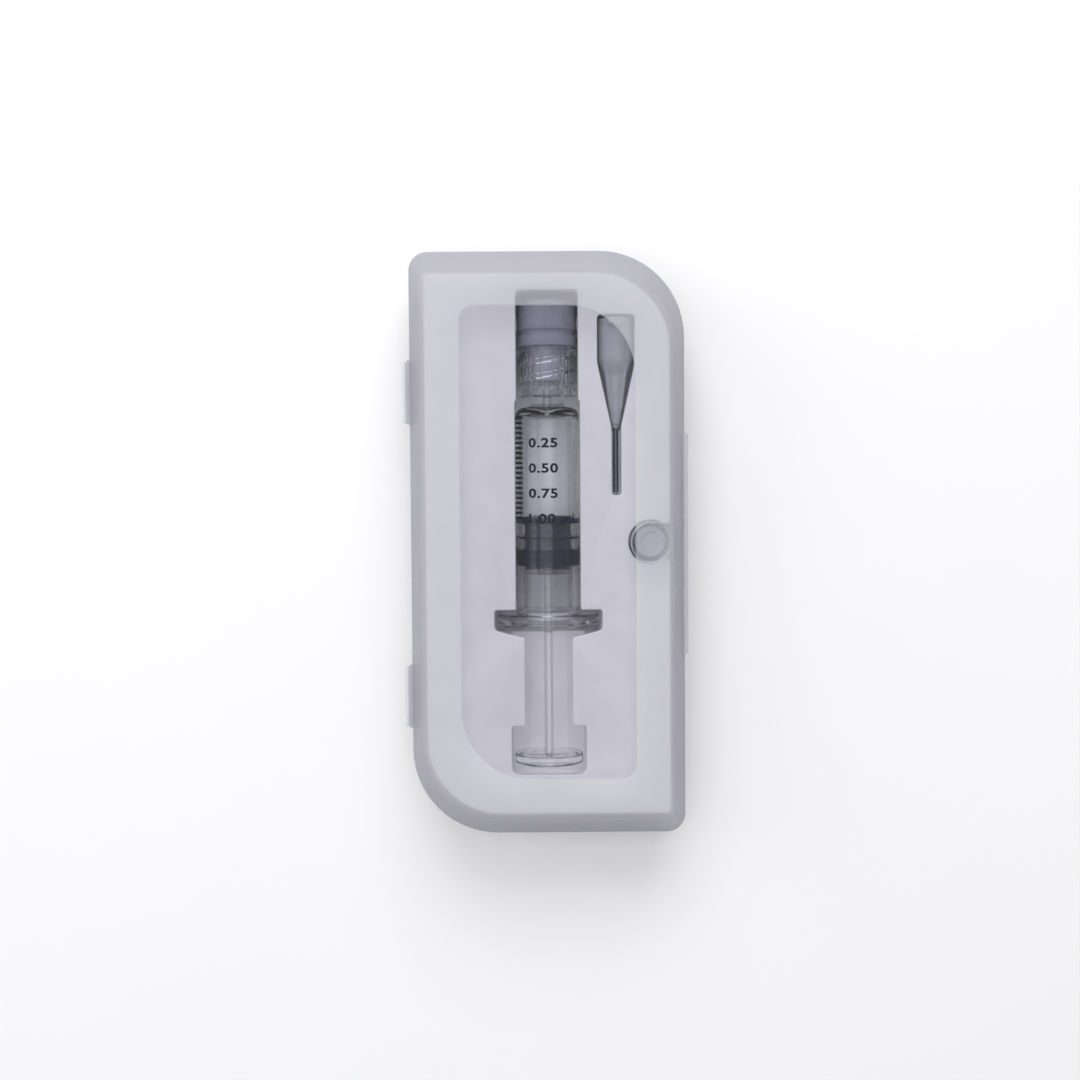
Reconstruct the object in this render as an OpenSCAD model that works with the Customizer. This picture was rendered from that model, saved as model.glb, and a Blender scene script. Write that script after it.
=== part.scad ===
// Prefilled-style 1 mL glass syringe with a blunt needle, packed in a hinged
// frosted case.  The origin is at the middle of the case's underside, +Z is up
// and +Y runs along the case toward the capped end of the syringe.

/* [Case] */
// Width of the case at the parting line
case_w = 47.0; // [46:0.5:52]
// Length of the case at the parting line
case_l = 100.0; // [99:0.5:110]
// Thickness of the closed case
case_t = 21.0; // [21:0.1:24]
// Wall thickness of both shells
wall = 1.2; // [1.0:0.1:1.4]
// Radius of the two tight corners
corner_small = 3.2; // [2.6:0.1:4]
// Radius of the two wide corners
corner_big = 14.7; // [10:0.1:15]
// How far the long walls lean in from the parting line to the face
side_lean = 2.1; // [1.5:0.1:2.4]
// How far the end walls lean in from the parting line to the face
end_lean = 4.4; // [2:0.1:4.6]

/* [Window] */
// Width of the sunken window panel in the lid
window_w = 29.2; // [24:0.1:31]
// Length of the sunken window panel in the lid
window_l = 78.7; // [70:0.1:80]
// Depth of the window panel below the lid's face
window_depth = 0.3; // [0.1:0.05:0.3]

/* [Hinge and latch] */
// Distance of each hinge tab from the middle of the case
hinge_y = 26.1; // [20:0.1:30]
// Length of each hinge tab
hinge_l = 10.9; // [8:0.1:13]
// Outer radius of the lid's snap socket
latch_r = 3.35; // [3.2:0.05:3.5]
// Radius of the snap post that stands in the socket
post_r = 2.5; // [2.3:0.05:2.55]
// Distance of the latch from the middle of the case, across
latch_x = 17.3; // [17:0.1:17.6]
// Length of the thumb lip on the opening edge
lip_l = 37.8; // [20:0.1:50]

/* [Insert] */
// Height of the top of the white insert above the case's underside
insert_top = 16.0; // [15.8:0.1:16.2]
// Thickness of the lips over the plunger channel
lip_t = 1.0; // [0.8:0.1:1.0]
// Width of the slot over the plunger rod
rod_slot_w = 8.0; // [7.8:0.1:8.4]

/* [Syringe] */
// Outer diameter of the glass barrel
barrel_od = 10.85; // [10.7:0.05:10.9]
// Bore of the glass barrel
barrel_id = 8.65; // [8.5:0.05:8.7]
// Diameter of the finger flange
flange_d = 17.75; // [16:0.05:17.8]
// Thickness of the finger flange
flange_t = 2.2; // [1.8:0.1:2.4]
// Length of the barrel from flange to shoulder
barrel_l = 37.2; // [36.8:0.1:37.4]
// Stroke of the plunger, which empties one millilitre
stroke = 17.0; // [15:0.1:17]
// Outer diameter of the luer-lock collar
collar_d = 10.2; // [9.6:0.1:10.4]
// Outer diameter of the rubber tip cap
cap_d = 10.0; // [9:0.1:10]
// Diameter of the thumb rest
thumb_d = 11.7; // [11:0.1:11.7]

/* [Needle] */
// Distance of the needle from the syringe's axis
needle_x = 11.6; // [11.2:0.1:11.8]
// Outer diameter of the hub's socket end
hub_d = 6.0; // [5.6:0.1:6.2]
// Outer diameter of the blunt cannula
cannula_d = 0.9; // [0.7:0.05:1.2]
// Length of the cannula beyond the hub
cannula_l = 11.5; // [9:0.5:12]

/* [Hidden] */
$fn = 64;
eps = 0.01;
corner_steps = 14;              // flats in each round corner of the case
part_z = case_t / 2;            // parting plane, and the height of every main axis
axis_z = part_z;
floor_z = wall;
lid_inner_z = case_t - wall;
edge_drop = 0.8;                // height of the rounding round each face
window_y = 0.55;                // the window sits a little toward the capped end
edge_in = 0.6;                  // how far that rounding runs inward
rim_h = 0.9;                    // rim that locates the lid on the base
rim_t = 0.4;
rim_in = wall - 0.1;            // inset of the rim's inner face
hinge_x = -case_w / 2 - 0.9;    // axis of both living hinges
web_r = 0.3;
leaf_t = 1.1;
leaf_gap = 0.08;
latch_y = 0.5;
latch_in = 2.6;                 // bore of the snap socket
socket_z = 12.0;
post_top = 13.5;
insert_z = floor_z + 0.05;
flange_rear = -14.0;            // rear face of the finger flange
shoulder = flange_rear + barrel_l;
bore_end = shoulder - 1.3;
stopper_front = bore_end - 0.15 - stroke;
stopper_l = 8.7;
stopper_rear = stopper_front - stopper_l;
rod_rear = stopper_front - 40.75;     // front face of the thumb rest
thumb_t = 1.7;
rod_fin = 3.4;                  // reach of the rod's four fins
fin_t = 1.0;
collar_front = shoulder + 10.35;
collar_rear = shoulder + 1.9;
cap_front = collar_front + 7.95;
tip_front = collar_front - 1.0;
insert_in_x = 2.9;              // inset of the insert's edge from the case outline
insert_in_y = 4.4;
rib_y = [-0.6, 36.6];           // near side of each cradle rib
rib_t = 2.0;
pocket_floor = 2.6;
pocket_w = barrel_od + 0.1;
cap_pocket_w = collar_d + 0.24;
pocket_step = shoulder + 1.1;   // where the pocket narrows for the collar and the cap
cap_gap = 1.35;                 // room in front of the cap, for turning it loose
slot_end = cap_front + cap_gap;
channel_w = thumb_d + 0.9;      // channel under the lips, wide enough for the thumb rest
thumb_slot_rear = rod_rear - thumb_t - 1.2;
thumb_slot_front = rod_rear + 5.4;
flange_slot_front = flange_rear + flange_t + 0.9;
flange_slot_rear = flange_rear - 1.7;
tick_w = 0.4;
needle_z = 13.0;
hub_top = 38.2;                 // socket end of the needle hub
hub_l = 17.8;
hub_bottom = hub_top - hub_l;
needle_tip = hub_bottom - cannula_l;
lug_r = 3.85;

// ---- shared shapes ----

// A quarter turn of radius r round [x, y], starting at angle a.
function quarter(x, y, r, a) =
    [for (i = [0:corner_steps]) let (t = a + 90 * i / corner_steps) [x + r * cos(t), y + r * sin(t)]];

// A rectangle with tight corners at top left and bottom right, wide ones at the others.
module outline(w, l, tight, wide) {
    x = w / 2;
    y = l / 2;
    polygon(concat(quarter(x - wide, y - wide, wide, 0), quarter(-x + tight, y - tight, tight, 90),
                   quarter(-x + wide, -y + wide, wide, 180), quarter(x - tight, -y + tight, tight, 270)));
}

// Corner radii of the case outline where it is moved inward by d.
function tight_r(d) = max(0.6, corner_small - 0.6 * d);
function wide_r(d) = corner_big - 0.6 * d;

// The case outline moved inward by dx at the long walls and dy at the ends.
module case_slice(dx, dy) {
    d = (dx + dy) / 2;
    outline(case_w - 2 * dx, case_l - 2 * dy, tight_r(d), wide_r(d));
}

// The same outline as a thin plate resting on height z.
module plate(z, dx, dy) {
    d = (dx + dy) / 2;
    x = case_w / 2 - dx;
    y = case_l / 2 - dy;
    for (s = [1, -1]) {
        translate([-s * (x - tight_r(d)), s * (y - tight_r(d)), z]) cylinder(r = tight_r(d), h = eps);
        translate([s * (x - wide_r(d)), s * (y - wide_r(d)), z]) cylinder(r = wide_r(d), h = eps);
    }
}

// Solid half of the case, from its face at z = 0 up past the parting line by over,
// moved inward by t all round.
module half_solid(t, over) {
    hull($fn = 40) {
        plate(t, side_lean + edge_in + t, end_lean + edge_in + t);
        plate(edge_drop + t / 2, side_lean + t, end_lean + t);
        plate(part_z - eps + over, t, t);
    }
}

// A block of the case outline moved inward by t, from z0 to z1.
module upright(z0, z1, t) {
    hull($fn = 40) {
        plate(z0, t, t);
        plate(z1 - eps, t, t);
    }
}

// Hollow half of the case.
module half_shell() {
    difference() {
        half_solid(0, 0);
        half_solid(wall, 1);
    }
}

// The other half's place, turned over about the parting plane.
module as_lid() {
    translate([0, 0, case_t]) mirror([0, 0, 1]) children();
}

// A round bar or tube along Y, from y0 to y1.
module bar_y(r, y0, y1, x = 0, z = axis_z) {
    translate([x, y1, z]) rotate([90, 0, 0]) cylinder(r = r, h = y1 - y0);
}

// Turns a profile of [radius, y] points round the axis at x, z.
module turned(points, x = 0, z = axis_z) {
    translate([x, 0, z]) rotate([-90, 0, 0]) rotate_extrude() polygon(points);
}

// One hinge leaf in plan, with rounded outer corners.
module leaf(y) {
    reach = -hinge_x - case_w / 2 - web_r - 0.02;
    r = 0.45;
    translate([-case_w / 2 - reach, y - hinge_l / 2]) {
        translate([r, 0]) square([reach + 1.0 - r, hinge_l]);
        translate([0, r]) square([reach, hinge_l - 2 * r]);
        for (t = [r, hinge_l - r]) translate([r, t]) circle(r = r);
    }
}

// Both leaves of one half, whose top is at height z.
module leaves(z) {
    for (s = [1, -1]) translate([0, 0, z - leaf_t]) linear_extrude(leaf_t) leaf(s * hinge_y);
}

// ---- case ----

module case_base() color([0.80, 0.80, 0.83, 0.55]) {
    difference() {
        union() {
            half_shell();
            difference() {
                upright(part_z - 0.5, part_z + rim_h, rim_in - rim_t);
                upright(part_z - 1, part_z + rim_h + 1, rim_in);
            }
            leaves(part_z - leaf_gap);
        }
        // clearance beside the rim for the thumb lip's shut line
        translate([case_w / 2 - 0.25, -lip_l / 2, part_z - 1.2]) cube([2, lip_l, 1.2 + eps]);
    }
    translate([latch_x, latch_y, floor_z - 0.1]) cylinder(r = post_r, h = post_top - 0.6 - floor_z + 0.1);
    translate([latch_x, latch_y, post_top - 0.6 - eps]) cylinder(r1 = post_r, r2 = 1.9, h = 0.6);
}

module window_cut() {
    translate([0, window_y, case_t - window_depth]) linear_extrude(1)
        outline(window_w, window_l, 2.8, 11.5);
}

module case_lid() color([0.82, 0.82, 0.85, 0.45]) {
    difference() {
        union() {
            as_lid() half_shell();
            as_lid() leaves(part_z - leaf_gap);
            // thumb lip
            translate([case_w / 2 - 0.6, -lip_l / 2, part_z]) cube([1.0, lip_l, 2.2]);
            // snap socket
            translate([latch_x, latch_y, socket_z]) cylinder(r = latch_r, h = lid_inner_z - socket_z + 0.1);
        }
        // rebate that fits over the base's rim
        upright(part_z - 1, part_z + rim_h + 0.12, rim_in - rim_t - 0.12);
        window_cut();
        // bore of the socket and the dimple over it
        translate([latch_x, latch_y, socket_z - 1]) cylinder(r = latch_in, h = post_top - socket_z + 1.5);
        translate([latch_x, latch_y, case_t - 0.35]) cylinder(r = 1.9, h = 1);
        // sunken pad between the socket and the edge
        translate([latch_x + 0.5, latch_y - 3.1, case_t - 0.25]) cube([3.9, 6.2, 1]);
    }
}

module hinge_web(y) color([0.84, 0.84, 0.87]) {
    bar_y(web_r, y - hinge_l / 2 + 0.2, y + hinge_l / 2 - 0.2, hinge_x, part_z);
}
module upper_hinge_web() hinge_web(hinge_y);
module lower_hinge_web() hinge_web(-hinge_y);

// ---- insert ----

// Pocket over the syringe: wide at the flange and the thumb rest, narrow over the rod.
module pocket_top() {
    r = 0.8;
    translate([-pocket_w / 2, flange_slot_front - eps]) square([pocket_w, pocket_step - flange_slot_front]);
    translate([-cap_pocket_w / 2, pocket_step - 1]) square([cap_pocket_w, slot_end - r - pocket_step + 1]);
    translate([-cap_pocket_w / 2 + r, slot_end - r - 1]) square([cap_pocket_w - 2 * r, 1 + r]);
    for (s = [1, -1]) translate([s * (cap_pocket_w / 2 - r), slot_end - r]) circle(r = r);
    translate([-flange_d / 2 - 0.25, flange_slot_rear])
        square([flange_d + 0.5, flange_slot_front - flange_slot_rear]);
    translate([-rod_slot_w / 2, thumb_slot_rear + 1]) square([rod_slot_w, flange_slot_rear - thumb_slot_rear]);
    translate([-channel_w / 2, thumb_slot_rear]) square([channel_w, thumb_slot_front - thumb_slot_rear]);
}

// Pocket that follows the needle: wide at its socket end and narrow along the cannula.
module pocket_needle() {
    top = hub_top + 0.5;
    slot = 0.8;
    polygon([[needle_x - 3.15, top], [needle_x + 3.15, top], [needle_x + 3.15, hub_top - 7.6],
             [needle_x + slot, hub_bottom - 0.6], [needle_x + slot, needle_tip - 0.5],
             [needle_x - slot, needle_tip - 0.5], [needle_x - slot, hub_bottom - 0.6],
             [needle_x - 3.15, hub_top - 7.6]]);
}

module insert() color([0.95, 0.95, 0.96]) {
    top = insert_top + 1;
    front = flange_slot_front - eps;
    difference() {
        union() {
            translate([0, 0, insert_z]) linear_extrude(part_z + 1 - insert_z)
                case_slice(side_lean + wall + 0.75, end_lean + wall + 0.75);
            translate([0, 0, part_z]) linear_extrude(insert_top - part_z) case_slice(insert_in_x, insert_in_y);
        }
        // deep pocket for the syringe, with two ribs across it that cradle the glass and the cap
        bar_y(barrel_od / 2 + 0.04, front, rib_y[0] + rib_t + 1, 0, axis_z);
        bar_y(cap_d / 2 + 0.05, rib_y[1] - 1, rib_y[1] + rib_t + 1, 0, axis_z);
        translate([0, 0, axis_z]) linear_extrude(top - axis_z) pocket_top();
        for (span = [[front, rib_y[0], pocket_w], [rib_y[0] + rib_t, pocket_step, pocket_w],
                     [pocket_step - 1, rib_y[1], cap_pocket_w], [rib_y[1] + rib_t, slot_end - 0.4, cap_pocket_w]])
            translate([-span[2] / 2, span[0], pocket_floor])
                cube([span[2], span[1] - span[0], axis_z + 1 - pocket_floor]);
        // deep pocket for the finger flange
        translate([-flange_d / 2 - 0.25, flange_slot_rear, 1.45])
            cube([flange_d + 0.5, flange_slot_front - flange_slot_rear, top]);
        // plunger channel under the lips
        translate([-channel_w / 2, thumb_slot_rear, axis_z - thumb_d / 2 - 0.4])
            cube([channel_w, flange_slot_rear - thumb_slot_rear + eps,
                  thumb_d / 2 + 0.4 + insert_top - lip_t - axis_z]);
        // needle pocket
        translate([0, 0, needle_z - lug_r]) linear_extrude(top) pocket_needle();
        // notch round the latch
        translate([0, 0, 0]) linear_extrude(top) {
            translate([latch_x, latch_y]) circle(r = latch_r + 0.4);
            translate([latch_x, latch_y - 3.1]) square([20, 6.2]);
        }
    }
}

// ---- syringe ----

module barrel() color([0.86, 0.92, 0.94, 0.35]) {
    ro = barrel_od / 2;
    ri = barrel_id / 2;
    rf = flange_d / 2;
    front = flange_rear + flange_t;
    difference() {
        turned([[0, flange_rear], [rf - 0.5, flange_rear], [rf, flange_rear + 0.5], [rf, front - 0.5],
                [rf - 0.5, front], [ro, front], [ro, shoulder - 1.2], [ro - 1.2, shoulder],
                [2.9, shoulder + 0.3], [2.9, collar_rear + 1.9], [2.17, collar_rear + 2.1],
                [2.0, tip_front], [0, tip_front]]);
        turned([[0, flange_rear - 1], [ri + 0.3, flange_rear - 1], [ri + 0.3, flange_rear], [ri, flange_rear + 0.6],
                [ri, bore_end - 0.6], [ri - 0.6, bore_end], [0, bore_end]]);
        bar_y(0.5, bore_end - 1, tip_front + 1);
    }
}

// Collar that grips the neck of the barrel and carries the luer thread.
module luer_lock_collar() color([0.88, 0.92, 0.95, 0.45]) {
    ro = collar_d / 2;
    difference() {
        turned([[2.94, collar_rear], [ro - 0.3, collar_rear], [ro, collar_rear + 0.3], [ro, collar_front - 0.3],
                [ro - 0.3, collar_front], [4.0, collar_front], [4.0, collar_rear + 2.0],
                [2.94, collar_rear + 2.0]]);
        // four flats that mould the grip ribs
        for (a = [0:45:315]) translate([0, 0, axis_z]) rotate([0, a, 0])
            translate([0, collar_rear + 1.2, ro + 0.35]) rotate([-90, 0, 0]) cylinder(r = 0.6, h = 6);
    }
}

// Rubber cap: a ribbed head, a flange against the collar and a plug inside its thread.
module tip_cap() color([0.54, 0.56, 0.60]) {
    r = cap_d / 2;
    base = collar_front + 0.1;
    difference() {
        turned([[0, cap_front], [r - 1.0, cap_front], [r - 0.3, cap_front - 0.3], [r, cap_front - 1.0],
                [r, base + 2.6], [r - 0.35, base + 2.4], [r - 0.35, base + 2.1], [r, base + 1.9],
                [r, base + 0.2], [r - 0.2, base], [3.6, base], [3.6, collar_rear + 2.6],
                [0, collar_rear + 2.6]]);
        // blind bore that seals on the glass tip
        turned([[0, collar_rear], [2.32, collar_rear], [2.32, collar_rear + 2.2], [2.12, tip_front + 0.1],
                [0, tip_front + 0.1]]);
    }
}

// Rubber stopper with three sealing ribs and a threaded-style blind socket.
module stopper() color([0.23, 0.26, 0.32]) {
    ri = barrel_id / 2;
    seal = ri - 0.03;
    web = ri - 0.45;
    f = stopper_front;
    difference() {
        turned([[0, f], [seal - 0.6, f], [seal, f - 0.6], [seal, f - 1.3], [web, f - 1.6], [web, f - 3.0],
                [seal, f - 3.3], [seal, f - 3.8], [web, f - 4.1], [web, f - 5.3], [seal, f - 5.6],
                [seal, stopper_rear + 0.3], [seal - 0.3, stopper_rear], [0, stopper_rear]]);
        turned([[0, stopper_rear - 1], [1.75, stopper_rear - 1], [1.75, stopper_rear + 4.6],
                [1.2, stopper_rear + 5.1], [0, stopper_rear + 5.1]]);
    }
}

// Clear rod with four fins, a screw end in the stopper and the thumb rest.
module plunger_rod() color([0.86, 0.90, 0.93, 0.5]) {
    front = stopper_rear - 0.1;
    r = thumb_d / 2;
    for (a = [0, 90]) translate([0, 0, axis_z]) rotate([0, a, 0])
        translate([-rod_fin, rod_rear - 0.1, -fin_t / 2]) cube([2 * rod_fin, front - rod_rear, fin_t]);
    bar_y(4.05, front - 1.0, front);
    bar_y(1.68, front - 0.5, stopper_rear + 4.5);
    turned([[0, rod_rear - thumb_t], [r - 0.3, rod_rear - thumb_t], [r, rod_rear - thumb_t + 0.3],
            [r, rod_rear - 0.3], [r - 0.3, rod_rear], [0, rod_rear]]);
}

// Printed graduation: 21 short bands in the curve of the glass.
module scale_ticks() color([0.10, 0.13, 0.30]) {
    ro = barrel_od / 2;
    zero = stopper_front + stroke - 0.15;
    for (i = [0:20]) {
        long = i % 5 == 0;
        y = zero - i * stroke / 20;
        translate([0, y + tick_w / 2, axis_z]) rotate([90, 0, 0]) rotate([0, 0, long ? 140 : 145])
            rotate_extrude(angle = long ? 42 : 33) translate([ro + 0.005, 0]) square([0.02, tick_w]);
    }
}

// ---- needle ----

module needle_hub() color([0.62, 0.66, 0.68, 0.8]) {
    r = hub_d / 2;
    difference() {
        union() {
            turned([[0, hub_bottom], [0.72, hub_bottom], [0.85, hub_bottom + 0.4], [1.9, hub_top - 9.6],
                    [2.9, hub_top - 7.4], [r, hub_top - 6.8], [r, hub_top], [0, hub_top]],
                   needle_x, needle_z);
            // two luer lugs
            intersection() {
                bar_y(lug_r - 0.02, hub_top - 1.1, hub_top, needle_x, needle_z);
                translate([needle_x - 1.6, hub_top - 2, needle_z - 5]) cube([3.2, 3, 10]);
            }
        }
        turned([[0, hub_top - 8.2], [1.95, hub_top - 8.2], [2.14, hub_top + 1], [0, hub_top + 1]],
               needle_x, needle_z);
        bar_y(cannula_d / 2 + 0.02, hub_bottom - 1, hub_top - 8, needle_x, needle_z);
    }
}

module cannula() color([0.55, 0.57, 0.60]) difference() {
    bar_y(cannula_d / 2, needle_tip, hub_top - 8.4, needle_x, needle_z);
    bar_y(cannula_d / 2 - 0.18, needle_tip - 1, hub_top, needle_x, needle_z);
}

module cannula_glue() color([0.75, 0.80, 0.75, 0.6]) difference() {
    turned([[0, hub_bottom - 0.7], [cannula_d / 2 + 0.08, hub_bottom - 0.7], [0.66, hub_bottom - 0.02],
            [0, hub_bottom - 0.02]], needle_x, needle_z);
    bar_y(cannula_d / 2 + 0.01, needle_tip, hub_top, needle_x, needle_z);
}

case_base();
case_lid();
upper_hinge_web();
lower_hinge_web();
insert();
barrel();
luer_lock_collar();
tip_cap();
stopper();
plunger_rod();
needle_hub();
cannula();
cannula_glue();
scale_ticks();
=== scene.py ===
"""A small glass syringe and a blunt needle in a hinged frosted case, on a pale floor."""

import math

import bmesh
import bpy
from mathutils import Matrix, Vector


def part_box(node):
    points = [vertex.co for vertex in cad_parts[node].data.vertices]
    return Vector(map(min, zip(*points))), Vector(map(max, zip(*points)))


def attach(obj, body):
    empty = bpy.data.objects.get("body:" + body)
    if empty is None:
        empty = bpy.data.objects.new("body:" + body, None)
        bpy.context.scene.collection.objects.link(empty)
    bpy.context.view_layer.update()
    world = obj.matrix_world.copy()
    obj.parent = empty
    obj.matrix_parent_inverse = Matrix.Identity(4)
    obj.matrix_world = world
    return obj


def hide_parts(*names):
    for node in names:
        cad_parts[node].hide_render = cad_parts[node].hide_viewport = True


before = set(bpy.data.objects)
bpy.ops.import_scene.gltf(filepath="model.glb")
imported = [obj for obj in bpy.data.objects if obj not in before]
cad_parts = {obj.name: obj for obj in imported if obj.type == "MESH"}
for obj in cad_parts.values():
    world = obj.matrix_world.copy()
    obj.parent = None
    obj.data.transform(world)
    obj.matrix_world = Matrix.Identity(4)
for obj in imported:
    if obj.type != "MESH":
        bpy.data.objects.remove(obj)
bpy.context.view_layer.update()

MM = 0.001
CASE = "case_and_syringe"
LID = "lid"

# ------------------------------------------------------------------ sizes
# Millimetres. The boxes are read off the frame, and the rest are the design's own sizes.


def box_mm(node):
    """Lowest and highest corner of a CAD node, in millimetres."""
    low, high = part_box(node)
    return Vector(low) / MM, Vector(high) / MM


base_lo, base_hi = box_mm("case_base")
lid_lo, lid_hi = box_mm("case_lid")
insert_lo, insert_hi = box_mm("insert")
barrel_lo, barrel_hi = box_mm("barrel")
collar_lo, collar_hi = box_mm("luer_lock_collar")
cap_lo, cap_hi = box_mm("tip_cap")
stopper_lo, stopper_hi = box_mm("stopper")
rod_lo, rod_hi = box_mm("plunger_rod")
hub_lo, hub_hi = box_mm("needle_hub")
cannula_lo, cannula_hi = box_mm("cannula")

CASE_L = base_hi.y - base_lo.y
CASE_W = 47.0
CASE_T = lid_hi.z
PART_Z = CASE_T / 2
AXIS_Z = (barrel_lo.z + barrel_hi.z) / 2
WALL = 1.2
SIDE_LEAN = 2.1
END_LEAN = 4.4
EDGE_DROP = 1.2
EDGE_IN = 1.5
TIGHT = 3.2
WIDE = 14.7
LATCH = Vector((17.3, 0.5))
WINDOW_W = 29.2
WINDOW_L = 78.7
WINDOW_Y = 0.55
WINDOW_R = 11.5
WINDOW_TIGHT = 2.8
SOCKET_R = 3.35
POST_R = 2.5
TAB_Y = 26.1
TAB_HALF = 5.45

BARREL_R = 10.85 / 2
BORE_R = 8.65 / 2
FLANGE_R = (barrel_hi.x - barrel_lo.x) / 2
FLANGE_T = 2.2
SHOULDER = barrel_lo.y + 37.2
BORE_END = SHOULDER - 1.3
STROKE = 17.0

NEEDLE_X = (hub_lo.x + hub_hi.x) / 2
NEEDLE_Z = (hub_lo.z + hub_hi.z) / 2

# ------------------------------------------------------------------ mesh helpers


def add_object(name, data):
    """A new object in the scene."""
    obj = bpy.data.objects.new(name, data)
    bpy.context.collection.objects.link(obj)
    return obj


def smooth(mesh, sharp):
    """Smooth shading that keeps edges over sharp degrees crisp."""
    mesh.polygons.foreach_set("use_smooth", [True] * len(mesh.polygons))
    mesh.set_sharp_from_angle(angle=math.radians(sharp))


def evaluated_mesh(obj):
    """A mesh of a curve, or of a mesh with its modifiers applied."""
    bpy.context.view_layer.update()
    return bpy.data.meshes.new_from_object(obj.evaluated_get(bpy.context.evaluated_depsgraph_get()))


def new_object(name, bm, sharp=35.0):
    """A smooth-shaded object from a bmesh built in millimetres."""
    bmesh.ops.scale(bm, vec=(MM, MM, MM), verts=bm.verts)
    bmesh.ops.recalc_face_normals(bm, faces=bm.faces)
    mesh = bpy.data.meshes.new(name)
    bm.to_mesh(mesh)
    bm.free()
    smooth(mesh, sharp)
    return add_object(name, mesh)


def round_corner(before, here, after, share, steps):
    """The arc at one (x, y, radius) corner. It takes at most this share of either side."""
    r = here[2]
    here = Vector(here[:2])
    if r <= 0:
        return [here]
    before = Vector(before[:2]) - here
    after = Vector(after[:2]) - here
    a, b = before.normalized(), after.normalized()
    half = a.angle(b) / 2
    reach = min(r / math.tan(half), before.length * share, after.length * share)
    radius = reach * math.tan(half)
    centre = here + (a + b).normalized() * (radius / math.sin(half))
    start = here + a * reach - centre
    turn = start.angle_signed(here + b * reach - centre)
    return [centre + Matrix.Rotation(-turn * k / steps, 2) @ start for k in range(steps + 1)]


def fillet(points, steps=6):
    """Rounds a closed outline: each point is (x, y, radius)."""
    out = []
    for i, here in enumerate(points):
        out += round_corner(points[i - 1], here, points[(i + 1) % len(points)], 0.5, steps)
    return out


def open_fillet(points):
    """Rounds the inner points of an open profile of (radius, y, fillet), but no nearly straight one."""
    out = [Vector(points[0][:2])]
    for before, here, after in zip(points, points[1:], points[2:]):
        back, on = [Vector(p[:2]) - Vector(here[:2]) for p in (before, after)]
        if here[2] > 0 and back.angle(on) > math.radians(178):
            out.append(Vector(here[:2]))
        else:
            out += round_corner(before, here, after, 0.48, 5)
    return out + [Vector(points[-1][:2])]


def turned_ring(bm, radius_at, x, y, z, segments):
    """Vertices round an axis along Y. radius_at gives the radius at an angle."""
    out = []
    for k in range(segments):
        a = 2 * math.pi * k / segments
        radius = radius_at(a)
        out.append(bm.verts.new((x + radius * math.sin(a), y, z + radius * math.cos(a))))
    return out


def skin_rings(bm, rings, closed):
    """Faces from each ring to the next. A ring of one vertex is a point on the axis."""
    pairs = list(zip(rings, rings[1:]))
    if closed:
        pairs.append((rings[-1], rings[0]))
    for one, two in pairs:
        segments = max(len(one), len(two))
        if segments == 1:
            continue
        for k in range(segments):
            n = (k + 1) % segments
            if len(one) == 1:
                bm.faces.new((one[0], two[k], two[n]))
            elif len(two) == 1:
                bm.faces.new((one[k], two[0], one[n]))
            else:
                bm.faces.new((one[k], two[k], two[n], one[n]))


def lathe(name, profile, x=0.0, z=None, segments=96, closed=False, sharp=35.0):
    """Turns (radius, y, fillet) points round an axis along Y. closed joins the last point to the first."""
    z = AXIS_Z if z is None else z
    pts = fillet(profile) if closed else open_fillet(profile)
    bm = bmesh.new()
    rings = []
    for p in pts:
        if p.x < 1e-6:
            rings.append([bm.verts.new((x, p.y, z))])
        else:
            rings.append(turned_ring(bm, lambda a: p.x, x, p.y, z, segments))
    skin_rings(bm, rings, closed)
    return new_object(name, bm, sharp)


def case_ring(dx, dy, z, tight=None, wide=None, w=None, l=None):
    """One loop of points of the case outline, moved inward by dx and dy, at height z."""
    d = (dx + dy) / 2
    tight = max(0.6, TIGHT - 0.6 * d) if tight is None else tight
    wide = WIDE - 0.6 * d if wide is None else wide
    x = (CASE_W if w is None else w) / 2 - dx
    y = (CASE_L if l is None else l) / 2 - dy
    corners = [(x - wide, y - wide, wide, 0), (-x + tight, y - tight, tight, 90),
               (-x + wide, -y + wide, wide, 180), (x - tight, -y + tight, tight, 270)]
    steps = 14
    out = []
    for cx, cy, r, start in corners:
        for k in range(steps + 1):
            a = math.radians(start + 90 * k / steps)
            out.append(Vector((cx + r * math.cos(a), cy + r * math.sin(a), z)))
    return out


def loft(bm, loops):
    """Joins loops with the same number of points by quads, and caps both ends."""
    rings = [[bm.verts.new(p) for p in loop] for loop in loops]
    for one, two in zip(rings, rings[1:]):
        for k in range(len(one)):
            n = (k + 1) % len(one)
            bm.faces.new((one[k], one[n], two[n], two[k]))
    bm.faces.new(list(reversed(rings[0])))
    bm.faces.new(rings[-1])


def slab(name, outline, holes, z0, z1, bevel):
    """A flat plate with holes and edges rounded by bevel, from z0 to z1."""
    curve = bpy.data.curves.new(name, "CURVE")
    curve.dimensions = "2D"
    curve.fill_mode = "BOTH"
    curve.extrude = (z1 - z0) / 2 * MM - bevel * MM
    curve.bevel_depth = bevel * MM
    curve.bevel_resolution = 3
    curve.offset = -bevel * MM
    for loop in [outline] + holes:
        spline = curve.splines.new("POLY")
        spline.points.add(len(loop) - 1)
        for point, p in zip(spline.points, loop):
            point.co = (p[0] * MM, p[1] * MM, 0, 1)
        spline.use_cyclic_u = True
    temp = add_object(name + "_curve", curve)
    mesh = evaluated_mesh(temp)
    bpy.data.objects.remove(temp)
    bpy.data.curves.remove(curve)
    mesh.transform(Matrix.Translation((0, 0, (z0 + z1) / 2 * MM)))
    mesh.name = name
    bm = bmesh.new()
    bm.from_mesh(mesh)
    bmesh.ops.remove_doubles(bm, verts=bm.verts, dist=1e-7)
    bm.to_mesh(mesh)
    bm.free()
    smooth(mesh, 40)
    return add_object(name, mesh)


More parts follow.
